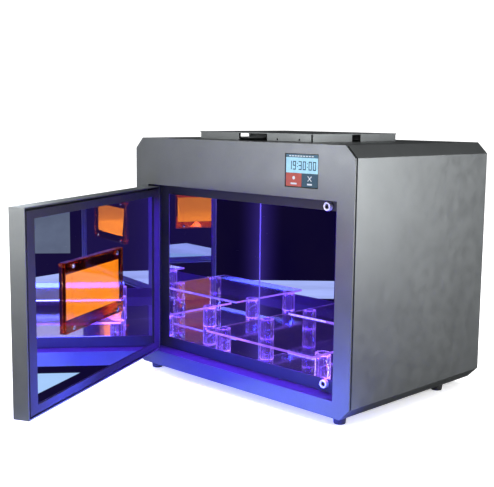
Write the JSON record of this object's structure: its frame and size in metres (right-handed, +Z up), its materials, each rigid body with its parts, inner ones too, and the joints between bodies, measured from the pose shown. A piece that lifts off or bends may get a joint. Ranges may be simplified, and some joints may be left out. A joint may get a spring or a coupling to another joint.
{
  "type": "uv curing lamp",
  "caption": "Sheet-metal UV resin curing cabinet with a side-hinged orange-window door, mirror-lined chamber, clear shelf and a small touch screen",
  "frame": {"origin": "centre of the base plate's underside", "axes": "+X to the right seen from the front, +Y from front to back, +Z up"},
  "size_m": [0.41, 0.6076, 0.3542],
  "materials": {
    "gunmetal_paint": "satin",
    "dark_paint": "satin",
    "zinc_steel": "satin",
    "chrome": "polished",
    "mirror": "polished",
    "clear_acrylic": "clear",
    "orange_acrylic": "tinted",
    "black_rubber": "matte",
    "black_plastic": "matte",
    "circuit_board": "matte",
    "screen_glass": "gloss",
    "violet_light": "gloss"
  },
  "bodies": {
    "cabinet": {"base_plate": "gunmetal_paint", "case_cover": "gunmetal_paint", "catch_magnet_lower": "chrome", "catch_magnet_upper": "chrome", "catch_screw_lower": "zinc_steel", "catch_screw_upper": "zinc_steel", "chamber_box": "zinc_steel", "controller_board": "circuit_board", "corner_bead_left": "violet_light", "corner_bead_right": "violet_light", "door_recess": "gunmetal_paint", "fan_frame": "black_plastic", "fan_guard": "chrome", "foot_front_left": "black_rubber", "foot_front_right": "black_rubber", "foot_rear_left": "black_rubber", "foot_rear_right": "black_rubber", "front_panel": "gunmetal_paint", "hinge_leaf_cabinet_lower": "zinc_steel", "hinge_leaf_cabinet_upper": "zinc_steel", "hinge_pin_lower": "zinc_steel", "hinge_pin_upper": "zinc_steel", "light_strip_1": "violet_light", "light_strip_2": "violet_light", "light_strip_3": "violet_light", "light_strip_4": "violet_light", "mirror_back": "mirror", "mirror_ceiling": "mirror", "mirror_floor": "mirror", "mirror_left": "mirror", "mirror_right": "mirror", "power_inlet": "black_plastic", "power_supply": "zinc_steel", "rear_panel": "gunmetal_paint", "screen_board": "circuit_board", "switch_housing": "black_plastic", "touch_screen": "screen_glass", "vent_cap": "gunmetal_paint"},
    "door": {"door_frame": "gunmetal_paint", "door_handle": "dark_paint", "door_mirror": "mirror", "door_shell": "gunmetal_paint", "hinge_leaf_door_lower": "zinc_steel", "hinge_leaf_door_upper": "zinc_steel", "orange_window": "orange_acrylic", "window_screw_1": "zinc_steel", "window_screw_2": "zinc_steel", "window_screw_3": "zinc_steel", "window_screw_4": "zinc_steel"},
    "fan": {"fan_rotor": "black_plastic"},
    "rocker": {"power_switch": "black_plastic"},
    "shelf": {"shelf_plate": "clear_acrylic", "shelf_post_front_left": "clear_acrylic", "shelf_post_front_right": "clear_acrylic", "shelf_post_rear_left": "clear_acrylic", "shelf_post_rear_right": "clear_acrylic"}
  },
  "joints": [
    {"name": "door_hinge", "type": "hinge", "parent": "cabinet", "child": "door", "pos_m": [-0.1769, -0.1457, 0.142], "axis": [0, 0, 1], "range_deg": [-51, 64]},
    {"name": "fan_spin", "type": "hinge", "parent": "cabinet", "child": "fan", "pos_m": [0.12, 0.1322, 0.3], "axis": [0, 1, 0], "continuous": true},
    {"name": "power_rocker", "type": "hinge", "parent": "cabinet", "child": "rocker", "pos_m": [0.135, 0.137, 0.092], "axis": [1, 0, 0], "range_deg": [-16, 0]},
    {"name": "shelf_lift", "type": "slide", "parent": "cabinet", "child": "shelf", "axis": [0, 0, 1], "range_m": [0, 0.12]}
  ]
}
